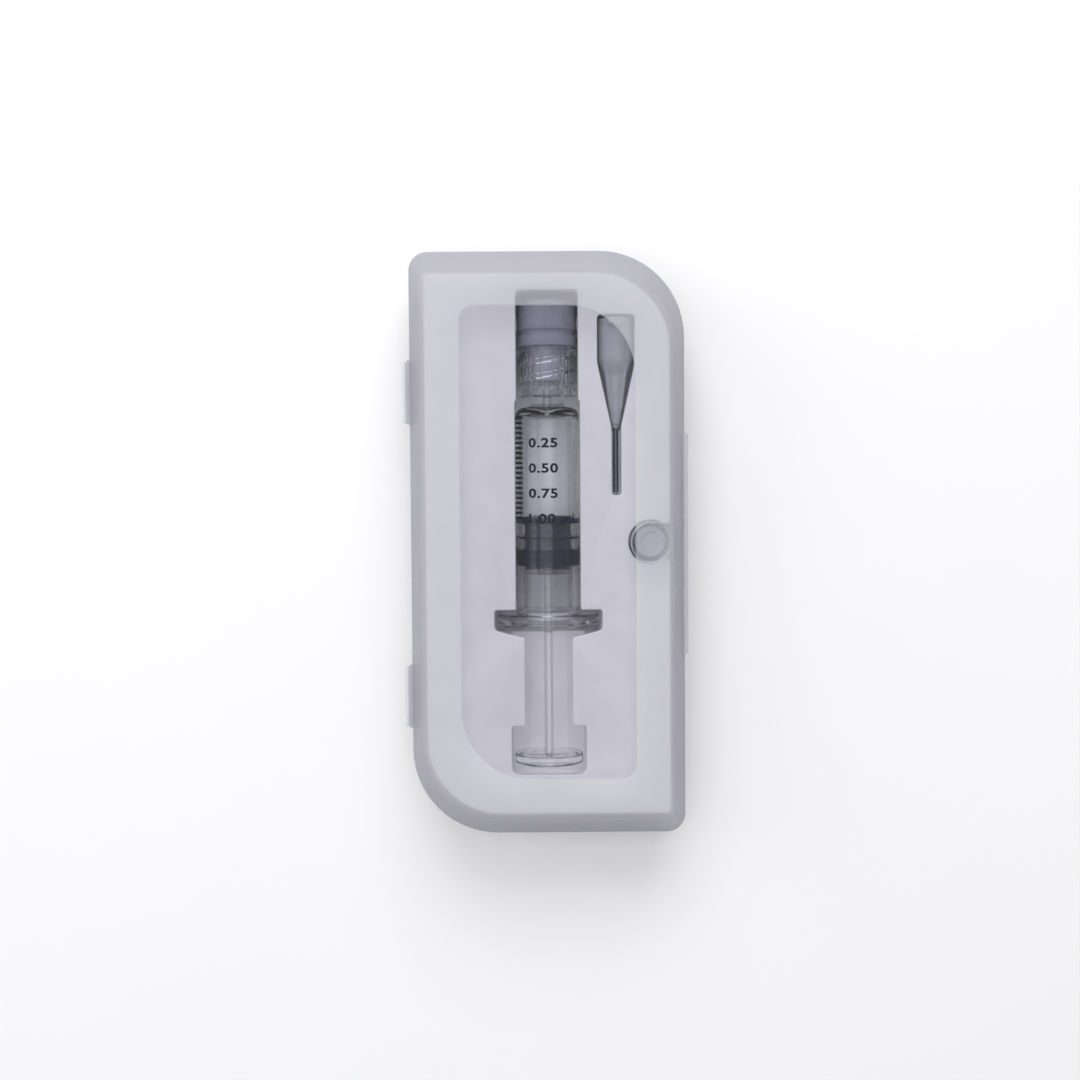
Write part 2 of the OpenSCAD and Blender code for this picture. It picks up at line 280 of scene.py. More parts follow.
def boolean(obj, cutter, operation):
    """Applies one exact boolean to obj and removes the cutter."""
    mod = obj.modifiers.new("cut", "BOOLEAN")
    mod.object = cutter
    mod.operation = operation
    mod.solver = "EXACT"
    mesh = evaluated_mesh(obj)
    obj.modifiers.clear()
    obj.data = mesh
    bpy.data.objects.remove(cutter)
    smooth(mesh, 35)


def join(name, parts):
    """One object holding all the parts' meshes."""
    bm = bmesh.new()
    for part in parts:
        bm.from_mesh(part.data)
        bpy.data.objects.remove(part)
    mesh = bpy.data.meshes.new(name)
    bm.to_mesh(mesh)
    bm.free()
    return add_object(name, mesh)


def cylinder(name, x, y, z0, z1, r0, r1=None):
    """An upright closed cone or cylinder, used as a cutter or a post."""
    r1 = r0 if r1 is None else r1
    segments = 64
    bm = bmesh.new()
    loops = []
    for r, z in ((r0, z0), (r1, z1)):
        loops.append([Vector((x + r * math.cos(2 * math.pi * k / segments),
                              y + r * math.sin(2 * math.pi * k / segments), z))
                      for k in range(segments)])
    loft(bm, loops)
    return new_object(name, bm)


def rounded_box(name, low, high, r):
    """A box with rounded upright edges and softened rims."""
    x0, y0, z0 = low
    x1, y1, z1 = high
    soft = r * 0.4
    loops = []
    for z, inset in ((z0, soft), (z0 + soft * 0.3, soft * 0.3), (z0 + soft, 0), (z1 - soft, 0),
                     (z1 - soft * 0.3, soft * 0.3), (z1, soft)):
        pts = fillet([(x0 + inset, y0 + inset, r), (x1 - inset, y0 + inset, r),
                      (x1 - inset, y1 - inset, r), (x0 + inset, y1 - inset, r)], 4)
        loops.append([Vector((p.x, p.y, z)) for p in pts])
    bm = bmesh.new()
    loft(bm, loops)
    return new_object(name, bm, 30)


def finish_piece(obj, body, nodes, material):
    """Gives a piece its material and the body it rides on, and hides the CAD nodes it stands for."""
    obj.data.materials.clear()
    obj.data.materials.append(material)
    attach(obj, body)
    if nodes:
        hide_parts(*nodes)
    return obj


# ------------------------------------------------------------------ materials


class Nodes:
    """A short way to write one material's node tree."""

    def __init__(self, name):
        self.material = bpy.data.materials.new(name)
        self.material.use_nodes = True
        self.tree = self.material.node_tree
        self.shader = self.tree.nodes["Principled BSDF"]
        self.output = self.tree.nodes["Material Output"]
        self.coords = self.add("ShaderNodeTexCoord").outputs["Object"]

    def add(self, kind, **settings):
        node = self.tree.nodes.new(kind)
        for key, value in settings.items():
            setattr(node, key, value)
        return node

    def link(self, a, b):
        self.tree.links.new(a, b)

    def noise(self, scale, detail=3.0, rough=0.5, stretch=None):
        """A noise texture in object space; scale is in cells per metre."""
        node = self.add("ShaderNodeTexNoise")
        node.inputs["Scale"].default_value = scale
        node.inputs["Detail"].default_value = detail
        node.inputs["Roughness"].default_value = rough
        if stretch:
            mapping = self.add("ShaderNodeMapping")
            mapping.inputs["Scale"].default_value = stretch
            self.link(self.coords, mapping.inputs["Vector"])
            self.link(mapping.outputs["Vector"], node.inputs["Vector"])
        else:
            self.link(self.coords, node.inputs["Vector"])
        return node.outputs["Fac"]

    def ramp(self, value, low, high, low_at=0.0, high_at=1.0):
        """Colours between two stops."""
        node = self.add("ShaderNodeValToRGB")
        node.color_ramp.elements[0].position = low_at
        node.color_ramp.elements[0].color = (*low, 1)
        node.color_ramp.elements[1].position = high_at
        node.color_ramp.elements[1].color = (*high, 1)
        self.link(value, node.inputs["Fac"])
        return node.outputs["Color"]

    def between(self, value, low, high):
        """A number that follows value from low to high."""
        node = self.add("ShaderNodeMapRange")
        node.inputs["To Min"].default_value = low
        node.inputs["To Max"].default_value = high
        self.link(value, node.inputs["Value"])
        return node.outputs["Result"]

    def bump(self, height, strength, distance):
        node = self.add("ShaderNodeBump")
        node.inputs["Strength"].default_value = strength
        node.inputs["Distance"].default_value = distance
        self.link(height, node.inputs["Height"])
        self.link(node.outputs["Normal"], self.shader.inputs["Normal"])
        return node.outputs["Normal"]

    def see_through(self, amount):
        """Mixes a clear shader in: amount is the share of light that passes straight through."""
        clear = self.add("ShaderNodeBsdfTransparent")
        mix = self.add("ShaderNodeMixShader")
        if isinstance(amount, float):
            mix.inputs["Fac"].default_value = amount
        else:
            self.link(amount, mix.inputs["Fac"])
        self.link(self.shader.outputs["BSDF"], mix.inputs[1])
        self.link(clear.outputs["BSDF"], mix.inputs[2])
        self.link(mix.outputs["Shader"], self.output.inputs["Surface"])
        return clear


def frosted(name, clear_share, haze_share, tint, clear_tint, grain, rough=0.42):
    """Frosted polypropylene. clear_share passes straight through, haze_share is light scattered onward."""
    m = Nodes(name)
    s = m.shader
    cloud = m.noise(160, 3)
    m.link(m.ramp(cloud, [c * 0.98 for c in tint], [min(1, c * 1.02) for c in tint], 0.3, 0.7),
           s.inputs["Base Color"])
    s.inputs["Roughness"].default_value = rough
    s.inputs["IOR"].default_value = 1.49
    s.inputs["Specular IOR Level"].default_value = 0.35
    normal = m.bump(m.noise(9000, 2, 0.6), grain, 0.00003)
    clear = m.see_through(clear_share)
    clear.inputs["Color"].default_value = (*clear_tint, 1)
    if haze_share:
        haze = m.add("ShaderNodeBsdfTranslucent")
        haze.inputs["Color"].default_value = (*[min(1, c * 1.1) for c in tint], 1)
        m.link(normal, haze.inputs["Normal"])
        milky = m.add("ShaderNodeMixShader")
        milky.inputs["Fac"].default_value = haze_share
        m.link(s.outputs["BSDF"], milky.inputs[1])
        m.link(haze.outputs["BSDF"], milky.inputs[2])
        mix = m.output.inputs["Surface"].links[0].from_node
        m.link(milky.outputs["Shader"], mix.inputs[1])
    return m.material


def clear_solid(name, tint, rough, ior, streak=0.0):
    """Clear glass or plastic that refracts, and lets lamps light what is behind it."""
    m = Nodes(name)
    s = m.shader
    s.inputs["Base Color"].default_value = (*tint, 1)
    s.inputs["Roughness"].default_value = rough
    s.inputs["IOR"].default_value = ior
    s.inputs["Transmission Weight"].default_value = 1.0
    if streak:
        m.bump(m.noise(700, 2, 0.5, (1, 0.12, 1)), streak, 0.00002)
    path = m.add("ShaderNodeLightPath")
    clear = m.see_through(path.outputs["Is Shadow Ray"])
    clear.inputs["Color"].default_value = (*[c * 0.97 for c in tint], 1)
    return m.material


def solid(name, low, high, rough_low, rough_high, scale, bump_scale, bump, specular=0.5):
    """An opaque finish with a slight cloud in colour and roughness, and fine grain."""
    m = Nodes(name)
    s = m.shader
    cloud = m.noise(scale, 4)
    m.link(m.ramp(cloud, low, high, 0.3, 0.7), s.inputs["Base Color"])
    m.link(m.between(cloud, rough_low, rough_high), s.inputs["Roughness"])
    s.inputs["Specular IOR Level"].default_value = specular
    m.bump(m.noise(bump_scale, 3, 0.6), bump, 0.00003)
    return m.material


CLEAR_TINT = (0.97, 0.97, 0.98)
LID_TINT = (0.665, 0.66, 0.695)
lid_frost = frosted("lid_frost", 0.62, 0.45, LID_TINT, CLEAR_TINT, 0.35)
lid_window = frosted("lid_window", 0.985, 0.0, LID_TINT, (0.860, 0.857, 0.880), 0.015, rough=0.12)
latch_frost = frosted("latch_frost", 0.12, 0.5, (0.84, 0.85, 0.88), CLEAR_TINT, 0.1)
base_frost = frosted("base_frost", 0.35, 0.4, (0.68, 0.675, 0.71), CLEAR_TINT, 0.35)
white_insert = solid("white_insert", (0.86, 0.86, 0.87), (0.91, 0.91, 0.92),
                     0.42, 0.6, 260, 5200, 0.06)
glass = clear_solid("clear_glass", (0.98, 0.982, 0.984), 0.0, 1.5)
collar_plastic = clear_solid("clear_collar", (0.95, 0.96, 0.975), 0.04, 1.52, 0.15)
rod_plastic = clear_solid("clear_rod", (0.96, 0.96, 0.966), 0.03, 1.5, 0.2)
grey_rubber = solid("grey_rubber", (0.27, 0.285, 0.34), (0.33, 0.345, 0.40),
                    0.5, 0.65, 500, 7000, 0.4, 0.4)
dark_rubber = solid("dark_rubber", (0.009, 0.013, 0.026), (0.013, 0.018, 0.034),
                    0.5, 0.62, 500, 6000, 0.2, 0.2)
navy_ink = solid("navy_print", (0.006, 0.009, 0.028), (0.009, 0.012, 0.036),
                 0.45, 0.6, 2000, 9000, 0.3, 0.15)

# ------------------------------------------------------------------ case


def half_loops():
    """(height, dx, dy) of one half's outer skin, from the parting line to its face."""
    straight = PART_Z - EDGE_DROP
    outer = [(0.0, 0.10, 0.10), (0.10, 0.0, 0.0)]
    for k in range(1, 7):
        t = k / 6
        outer.append((0.10 + (straight - 0.10) * t, SIDE_LEAN * t, END_LEAN * t))
    # the rounding round the face
    for k in range(1, 9):
        a = math.pi / 2 * k / 8
        inward = EDGE_IN * (1 - math.cos(a))
        outer.append((straight + EDGE_DROP * math.sin(a), SIDE_LEAN + inward, END_LEAN + inward))
    return outer


def shell(name, up, window):
    """One hollow half of the case. up is +1 for the lid and -1 for the base."""
    bm = bmesh.new()

    def loop(h, dx, dy):
        return case_ring(dx, dy, PART_Z + up * h)

    def win(inset, z):
        ring = case_ring(inset, inset, z, tight=max(0.3, WINDOW_TIGHT - inset), wide=WINDOW_R - inset,
                         w=WINDOW_W, l=WINDOW_L)
        return [p + Vector((0, WINDOW_Y, 0)) for p in ring]

    loops = []
    # inner skin, from the middle of the face out and back to the parting line
    inner_top = PART_Z - WALL
    if window:
        loops.append(win(3.0, PART_Z + up * inner_top))
        loops.append(win(0.1, PART_Z + up * inner_top))
    loops.append(loop(inner_top, SIDE_LEAN + WALL + 3.0, END_LEAN + WALL + 3.0))
    loops.append(loop(inner_top, SIDE_LEAN + WALL + 0.5, END_LEAN + WALL + 0.5))
    loops.append(loop(inner_top - 0.15, SIDE_LEAN + WALL + 0.12, END_LEAN + WALL + 0.12))
    loops.append(loop(inner_top - 0.5, SIDE_LEAN + WALL - 0.1, END_LEAN + WALL - 0.1))
    if up > 0:
        loops.append(loop(1.02, WALL + 0.25, WALL + 0.5))
        loops.append(loop(1.02, 0.58, 0.58))
        loops.append(loop(0.0, 0.58, 0.58))
    else:
        loops.append(loop(0.0, WALL - 0.1, WALL - 0.1))
        loops.append(loop(-0.82, WALL - 0.1, WALL - 0.1))
        loops.append(loop(-0.90, WALL - 0.18, WALL - 0.18))
        loops.append(loop(-0.90, 0.78, 0.78))
        loops.append(loop(-0.82, 0.70, 0.70))
        loops.append(loop(0.0, 0.70, 0.70))
    for h, dx, dy in half_loops():
        loops.append(loop(h, dx, dy))
    if window:
        w_lo = PART_Z + up * PART_Z
        deep = w_lo - 0.3
        loops.append(win(-0.12, w_lo))
        loops.append(win(-0.03, w_lo - 0.03))
        loops.append(win(0.0, w_lo - 0.12))
        loops.append(win(0.02, deep + 0.08))
        loops.append(win(0.10, deep))
        loops.append(win(3.0, deep))
    loft(bm, loops)
    return new_object(name, bm, 28)


def hinge_leaves(z0, z1):
    """The two small leaves beside the hinge webs, between two heights."""
    return [rounded_box("leaf", (-CASE_W / 2 - 0.58, s * TAB_Y - TAB_HALF, z0),
                        (-CASE_W / 2 + 0.9, s * TAB_Y + TAB_HALF, z1), 0.4) for s in (1, -1)]


def build_lid():
    lid = shell("case_lid_shell", 1, True)
    boolean(lid, cylinder("socket", LATCH.x, LATCH.y, 12.0, CASE_T - WALL + 0.3, SOCKET_R), "UNION")
    boolean(lid, cylinder("bore", LATCH.x, LATCH.y, 11.0, 14.0, 2.6), "DIFFERENCE")
    boolean(lid, cylinder("dimple", LATCH.x, LATCH.y, CASE_T - 0.35, CASE_T + 0.5, 1.7, 2.4), "DIFFERENCE")
    boolean(lid, rounded_box("pad", (LATCH.x + 0.5, LATCH.y - 3.1, CASE_T - 0.25),
                             (LATCH.x + 4.4, LATCH.y + 3.1, CASE_T + 1), 0.4), "DIFFERENCE")
    lip = rounded_box("lip", (CASE_W / 2 - 0.6, -18.9, PART_Z), (lid_hi.x, 18.9, PART_Z + 2.2), 0.35)
    return join("case_lid_shell", [lid, lip] + hinge_leaves(PART_Z + 0.08, PART_Z + 1.18))


def build_base():
    base = shell("case_base_shell", -1, False)
    post = cylinder("post", LATCH.x, LATCH.y, 1.0, 13.5, POST_R + 0.02, POST_R)
    return join("case_base_shell", [base, post] + hinge_leaves(PART_Z - 1.18, PART_Z - 0.08))


def in_window(x, y):
    """True inside the clearer window's outline."""
    y -= WINDOW_Y
    r = WINDOW_R if x * y > 0 else WINDOW_TIGHT
    dx, dy = abs(x) - (WINDOW_W / 2 - r), abs(y) - (WINDOW_L / 2 - r)
    if dx > 0 and dy > 0:
        return math.hypot(dx, dy) < r
    return dx < r and dy < r


base_obj = finish_piece(build_base(), CASE, ["case_base"], base_frost)
lid_obj = build_lid()
finish_piece(lid_obj, LID, ["case_lid"], lid_frost)
lid_obj.data.materials.append(lid_window)
lid_obj.data.materials.append(latch_frost)
for face in lid_obj.data.polygons:
    c = face.center / MM
    if in_window(c.x, c.y) and c.z > CASE_T - WALL - 0.2 and abs(face.normal.z) > 0.9:
        face.material_index = 1
    elif (Vector((c.x, c.y)) - LATCH).length < SOCKET_R + 0.02 and c.z < CASE_T - WALL + 0.05:
        face.material_index = 2
smooth(lid_obj.data, 28)
base_obj.data.materials.append(latch_frost)
for face in base_obj.data.polygons:
    c = face.center / MM
    if (Vector((c.x, c.y)) - LATCH).length < POST_R + 0.1 and c.z > WALL + 0.3:
        face.material_index = 1
smooth(base_obj.data, 28)

# ------------------------------------------------------------------ insert

deck_top = insert_hi.z
deck_low = deck_top - 1.0
SLOT_END = cap_hi.y + 1.35
PLUNGER_REAR = rod_lo.y
CHANNEL = rod_hi.x * 2 + 0.9
POCKET_FLOOR = 2.6
RIB_T = 2.0


def mirrored(right):
    """A closed outline from its right half, listed from top to bottom."""
    return right + [(-x, y, r) for x, y, r in reversed(right)]


def insert_outline(dx=2.9, dy=4.4):
    """The insert's edge, with the notch round the latch in its right side."""
    ring = [(p.x, p.y) for p in case_ring(dx, dy, 0)]
    edge_x = CASE_W / 2 - dx
    reach = SOCKET_R + 0.4
    half = 3.1
    start = math.degrees(math.asin(half / reach))
    notch = [(edge_x, LATCH.y - half)]
    for k in range(25):
        a = math.radians(360 - start - (360 - 2 * start) * k / 24)
        notch.append((LATCH.x + reach * math.cos(a), LATCH.y + reach * math.sin(a)))
    notch.append((edge_x, LATCH.y + half))
    # the ring starts at the right side's upper end, so the notch closes it
    return ring + notch


def pocket_front():
    """The syringe pocket's right side, from the cap's end back to the flange."""
    half = BARREL_R + 0.05
    narrow = collar_hi.x + 0.12
    front = barrel_lo.y + FLANGE_T + 0.9
    return [(narrow, SLOT_END, 0.8), (narrow, SHOULDER + 1.2, 0.4), (half, SHOULDER + 1.0, 0.4),
            (half, front, 0.25), (FLANGE_R + 0.25, front, 0.5)]


def syringe_pocket():
    """The syringe's pocket through the deck, with lips over the thumb rest's channel."""
    return fillet(mirrored(pocket_front() + [
        (FLANGE_R + 0.25, barrel_lo.y - 0.3, 0.9), (6.6, barrel_lo.y - 1.0, 3.0),
        (4.0, barrel_lo.y - 1.65, 0.4), (4.0, PLUNGER_REAR + 7.1, 0.25),
        (CHANNEL / 2, PLUNGER_REAR + 7.1, 0.5), (CHANNEL / 2, PLUNGER_REAR - 1.2, 1.4)]), 8)


def channel_pocket():
    """The syringe's pocket below the deck, wide enough for the thumb rest to travel."""
    return fillet(mirrored(pocket_front() + [
        (FLANGE_R + 0.25, barrel_lo.y - 1.7, 0.5), (CHANNEL / 2, barrel_lo.y - 1.7, 0.3),
        (CHANNEL / 2, PLUNGER_REAR - 1.2, 1.4)]), 8)


def needle_pocket():
    top = hub_hi.y + 0.5
    bottom = hub_lo.y
    tip = cannula_lo.y - 0.5
    right = [(3.15, top, 0.7), (3.15, hub_hi.y - 7.6, 6), (0.8, bottom - 0.6, 3), (0.8, tip, 0.5)]
    return fillet([(NEEDLE_X + x, y, r) for x, y, r in right]
                  + [(NEEDLE_X - x, y, r) for x, y, r in reversed(right)], 8)


def cradle_rib(y, r):
    """One rib across the syringe's pocket, cut to the round of radius r."""
    half = BARREL_R + 0.4
    bm = bmesh.new()
    section = []
    for k in range(33):
        a = math.pi + math.pi * k / 32
        section.append((r * math.cos(a), AXIS_Z + r * math.sin(a)))
    section += [(half, AXIS_Z), (half, POCKET_FLOOR - 0.5), (-half, POCKET_FLOOR - 0.5), (-half, AXIS_Z)]
    loft(bm, [[Vector((x, y + t, z)) for x, z in section] for t in (0, RIB_T)])
    return new_object("rib", bm, 35)


def build_insert():
    outline = insert_outline()
    deck = slab("deck", outline, [syringe_pocket(), needle_pocket()], deck_low, deck_top, 0.22)
    body = slab("body", outline, [channel_pocket(), needle_pocket()], PART_Z, deck_low + 0.3, 0.0)
    foot = slab("foot", insert_outline(SIDE_LEAN + WALL + 0.75, END_LEAN + WALL + 0.75),
                [channel_pocket(), needle_pocket()], insert_lo.z, PART_Z + 0.1, 0.0)
    barrel_floor = rounded_box("barrel_floor", (-BARREL_R - 0.4, barrel_lo.y + FLANGE_T, insert_lo.z),
                               (BARREL_R + 0.4, SLOT_END + 0.2, POCKET_FLOOR), 0.3)
    floor_z = AXIS_Z - 6.6
    rod_floor = rounded_box("rod_floor", (-CHANNEL / 2 - 0.3, PLUNGER_REAR - 1.5, insert_lo.z),
                            (CHANNEL / 2 + 0.3, barrel_lo.y - 1.7, floor_z), 0.3)
    needle_floor = rounded_box("needle_floor", (NEEDLE_X - 3.4, cannula_lo.y - 0.8, insert_lo.z),
                               (NEEDLE_X + 3.4, hub_hi.y + 0.8, NEEDLE_Z - 3.9), 0.3)
    cannula_rest = rounded_box("cannula_rest", (NEEDLE_X - 1.0, cannula_lo.y - 0.8, insert_lo.z),
                               (NEEDLE_X + 1.0, hub_lo.y - 1.0, NEEDLE_Z - 0.55), 0.2)
    ribs = [cradle_rib(-0.6, BARREL_R + 0.04), cradle_rib(36.6, cap_hi.x + 0.05)]
    insert = join("insert_tray", [deck, body, foot, barrel_floor] + ribs
                  + [rod_floor, needle_floor, cannula_rest])
    smooth(insert.data, 40)
    return insert


finish_piece(build_insert(), CASE, ["insert"], white_insert)

# ------------------------------------------------------------------ syringe


def build_barrel():
    rear = barrel_lo.y
    front = rear + FLANGE_T
    tip = barrel_hi.y
    profile = [
        (BORE_R + 0.35, rear, 0.2), (FLANGE_R, rear, 0.75), (FLANGE_R, front, 0.75), (BARREL_R, front, 0.5),
        (BARREL_R, SHOULDER, 1.6), (2.9, SHOULDER + 0.4, 0.4), (2.9, collar_lo.y + 1.9, 0.25),
        (2.17, collar_lo.y + 2.1, 0.1), (2.0, tip, 0.25), (0.5, tip, 0.1), (0.5, BORE_END + 0.2, 0.2),
        (BORE_R, BORE_END, 0.9), (BORE_R, rear + 0.7, 0.3)]
    return lathe("glass_barrel", profile, segments=128, closed=True, sharp=50)


def build_collar():
    """Ribbed outside, with a two-start thread cut inside."""
    y0, y1 = collar_lo.y, collar_hi.y
    r = collar_hi.x
    segments, rows = 144, 60
    lead = 5.0
    neck = 2.94

    def outer_r(a, y):
        ribbed = min(1, max(0, (y - y0 - 1.0) / 0.5)) * min(1, max(0, (y1 - 1.2 - y) / 0.5))
        return r - 0.28 * ribbed * (0.5 - 0.5 * math.cos(24 * a)) ** 0.6

    def inner_r(a, y):
        if y < y0 + 2.0:
            return neck
        turn = (2 * a / (2 * math.pi) - 2 * (y - y0) / lead) % 1.0
        ridge = max(0.0, 1 - abs(turn - 0.5) / 0.24)
        fade = min(1, max(0, (y1 - 0.5 - y) / 0.6)) * min(1, max(0, (y - y0 - 2.2) / 0.5))
        return 4.0 - 0.38 * min(1, ridge * 1.6) * fade

    def plain(radius):
        return lambda a, y: radius

    path = [(outer_r, y0 + 0.25 + (y1 - y0 - 0.5) * k / rows) for k in range(rows + 1)]
    path += [(plain(r - 0.25), y1), (plain(4.15), y1)]
    path += [(inner_r, y1 - 0.1 - (y1 - y0 - 2.1) * k / rows) for k in range(rows + 1)]
    path += [(plain(neck), y0 + 2.0), (plain(neck), y0 + 0.05), (plain(r - 0.25), y0)]
    bm = bmesh.new()
    rings = [turned_ring(bm, lambda a: radius_at(a, y), 0, y, AXIS_Z, segments) for radius_at, y in path]
    skin_rings(bm, rings, True)
    return new_object("collar_clear", bm, 40)


def build_cap():
    r = cap_hi.x
    y1 = cap_hi.y
    base = collar_hi.y + 0.1
    low = cap_lo.y
    tip = barrel_hi.y
    profile = [(0, y1, 0), (r - 0.2, y1, 0.9), (r, base + 2.9, 0.25), (r - 0.4, base + 2.5, 0.15),
               (r - 0.4, base + 2.0, 0.15), (r, base + 1.7, 0.2), (r, base, 0.25), (3.55, base, 0.15),
               (3.55, low, 0.4), (2.34, low, 0.1), (2.14, tip + 0.1, 0.1), (0, tip + 0.1, 0)]
    return lathe("rubber_cap", profile, segments=96, sharp=45)


def build_stopper():
    r = BORE_R + 0.015      # the sealing ribs press against the glass
    f, b = stopper_hi.y, stopper_lo.y
    web = r - 0.42
    profile = [(0, f, 0), (r - 0.25, f, 0.35), (r, f - 0.35, 0.2), (r, f - 1.2, 0.3), (web, f - 1.55, 0.25),
               (web, f - 3.0, 0.25), (r, f - 3.35, 0.3), (r, f - 3.85, 0.3), (web, f - 4.2, 0.25),
               (web, f - 5.2, 0.25), (r, f - 5.55, 0.3), (r, b + 0.3, 0.2), (r - 0.3, b, 0.2), (1.76, b, 0.1),
               (1.76, b + 4.6, 0.2), (1.2, b + 5.1, 0.2), (0, b + 5.1, 0)]
    return lathe("rubber_stopper", profile, segments=96, sharp=45)


def build_rod():
    """Four fins with drafted edges, the front disc, the screw end and the dished thumb rest."""
    y0 = rod_lo.y
    rest = y0 + 1.7
    front = stopper_lo.y - 0.1
    reach, half_t = 3.4, 0.5
    bm = bmesh.new()
    section = []
    for k in range(4):
        turn = Matrix.Rotation(math.radians(90 * k), 2)
        for x, y, r in ((half_t, half_t, 0.3), (half_t * 0.85, reach, 0.15), (-half_t * 0.85, reach, 0.15)):
            p = turn @ Vector((x, y))
            section.append((p.x, p.y, r))
    pts = fillet(section, 4)
    loft(bm, [[Vector((p.x, y, AXIS_Z + p.y)) for p in pts] for y in (rest - 0.05, front - 0.5)])
    fins = new_object("fins", bm, 40)
    disc = lathe("disc", [(0, front, 0), (4.05, front, 0.2), (4.05, front - 1.0, 0.3), (0, front - 1.0, 0)],
                 segments=96)
    end = lathe("screw", [(0, front + 4.5, 0), (1.3, front + 4.5, 0.3), (1.66, front + 4.0, 0.2),
                          (1.66, front - 0.4, 0), (0, front - 0.4, 0)], segments=48)
    r = rod_hi.x
    thumb = lathe("thumb", [(0, rest, 0), (r, rest, 0.3), (r, y0, 0.35), (r - 0.9, y0, 0.3),
                            (r - 1.5, y0 + 0.3, 0.5), (0, y0 + 0.45, 0)], segments=96, sharp=50)
    rod = join("clear_plunger_rod", [fins, disc, end, thumb])
    smooth(rod.data, 40)
    return rod


finish_piece(build_barrel(), CASE, ["barrel"], glass)
finish_piece(build_collar(), CASE, ["luer_lock_collar"], collar_plastic)
finish_piece(build_cap(), "cap", ["tip_cap"], grey_rubber)
finish_piece(build_stopper(), "stopper", ["stopper"], dark_rubber)
finish_piece(build_rod(), "rod", ["plunger_rod"], rod_plastic)

# ------------------------------------------------------------------ printed scale

PRINT_R = BARREL_R + 0.012
ZERO_Y = stopper_hi.y + STROKE - 0.15
TICK_HALF = 0.2
NUMERAL_WIDEN = 1.28


def wrap(bm):
    """Bends a flat print, x across and y along, round the top of the barrel."""
    for v in bm.verts:
        a = v.co.x / PRINT_R
        lift = v.co.z
        v.co = Vector(((PRINT_R + lift) * math.sin(a), v.co.y, AXIS_Z + (PRINT_R + lift) * math.cos(a)))


def build_ticks():
    bm = bmesh.new()
    for i in range(21):
        y = ZERO_Y - i * STROKE / 20
        long = i % 5 == 0
        right = -math.radians(50 if long else 55) * PRINT_R
        left = right - math.radians(42 if long else 33) * PRINT_R
        for z in (0.012, -0.004):
            steps = 12
            across = [left + (right - left) * k / steps for k in range(steps + 1)]
            top = [bm.verts.new((x, y + TICK_HALF, z)) for x in across]
            low = [bm.verts.new((x, y - TICK_HALF, z)) for x in across]
            for k in range(steps):
                bm.faces.new((low[k], low[k + 1], top[k + 1], top[k]))
    wrap(bm)
    return new_object("scale_print", bm)


def numeral(text, x, y, height):
    """One printed number, bent round the glass."""
    curve = bpy.data.curves.new("numeral", "FONT")
    curve.body = text
    curve.size = 1.0
    curve.offset = 0.03
    curve.space_character = 1.1
    curve.resolution_u = 6
    temp = add_object("numeral", curve)
    mesh = evaluated_mesh(temp)
    bpy.data.objects.remove(temp)
    bm = bmesh.new()
    bm.from_mesh(mesh)
    bpy.data.meshes.remove(mesh)
    high = 0.729          # height of a figure at size 1
    size = height / high
    left = min(v.co.x for v in bm.verts)
    for v in bm.verts:
        v.co = Vector((x + (v.co.x - left) * size * NUMERAL_WIDEN, y + (v.co.y - high / 2) * size, 0.01))
    bmesh.ops.triangulate(bm, faces=bm.faces)
    long_edges = [e for e in bm.edges if abs(e.verts[0].co.x - e.verts[1].co.x) > 0.25]
    bmesh.ops.subdivide_edges(bm, edges=long_edges, cuts=3)
    wrap(bm)
    return new_object("numeral", bm)


def build_numbers():
    parts = []
    for value, text in ((0.25, "0.25"), (0.5, "0.50"), (0.75, "0.75"), (1.0, "1.00 mL")):
        parts.append(numeral(text, -3.35, ZERO_Y - value * STROKE, 1.57))
    return join("scale_numbers", parts)


finish_piece(build_ticks(), CASE, ["scale_ticks"], navy_ink)
finish_piece(build_numbers(), CASE, [], navy_ink)

# ------------------------------------------------------------------ needle


def build_hub():
    x, z = NEEDLE_X, NEEDLE_Z
    top, bottom = hub_hi.y, hub_lo.y
    r = (hub_hi.x - hub_lo.x) / 2
    profile = [(0.47, bottom, 0.1), (0.72, bottom, 0.15), (0.85, bottom + 0.4, 0.3), (1.9, top - 9.6, 1.5),
               (2.85, top - 7.2, 1.0), (r - 0.05, top - 6.6, 0.4), (r, top, 0.2), (2.15, top, 0.15),
               (1.95, top - 8.0, 0.4), (0.47, top - 8.4, 0.2)]
    hub = lathe("hub", profile, x, z, 72, closed=True, sharp=50)
    lugs = []
    for s in (1, -1):
        bm = bmesh.new()
        section = fillet([(-1.6, 2.6, 0.1), (-1.3, 3.83, 0.3), (1.3, 3.83, 0.3), (1.6, 2.6, 0.1)], 4)
        loft(bm, [[Vector((x + s * p.x, y, z + s * p.y)) for p in section] for y in (top - 1.1, top - 0.02)])
        lugs.append(new_object("lug", bm, 40))
    ribs = []
    for k in range(4):
        a = math.radians(45 + 90 * k)
        bm = bmesh.new()
        lines = []
        for y, inner, outer in ((top - 1.6, 2.8, 3.12), (top - 6.4, 2.7, 3.0), (top - 9.4, 1.7, 2.35),
                                (bottom + 2.5, 0.9, 1.32)):
            side = Vector((math.cos(a), math.sin(a)))
            across = Vector((-side.y, side.x)) * 0.22
            quad = [side * inner - across, side * outer - across * 0.8, side * outer + across * 0.8,
                    side * inner + across]
            lines.append([Vector((x + q.x, y, z + q.y)) for q in quad])
        loft(bm, lines)
        ribs.append(new_object("rib", bm, 40))
    return join("needle_hub_body", [hub] + lugs + ribs)


def build_cannula():
    x, z = NEEDLE_X, NEEDLE_Z
    y0, y1 = cannula_lo.y, cannula_hi.y
    r = (cannula_hi.x - cannula_lo.x) / 2
    return lathe("cannula_tube", [(r - 0.18, y0, 0.04), (r, y0, 0.06), (r, y1, 0.04), (r - 0.18, y1, 0.04)],
                 x, z, 48, closed=True, sharp=50)


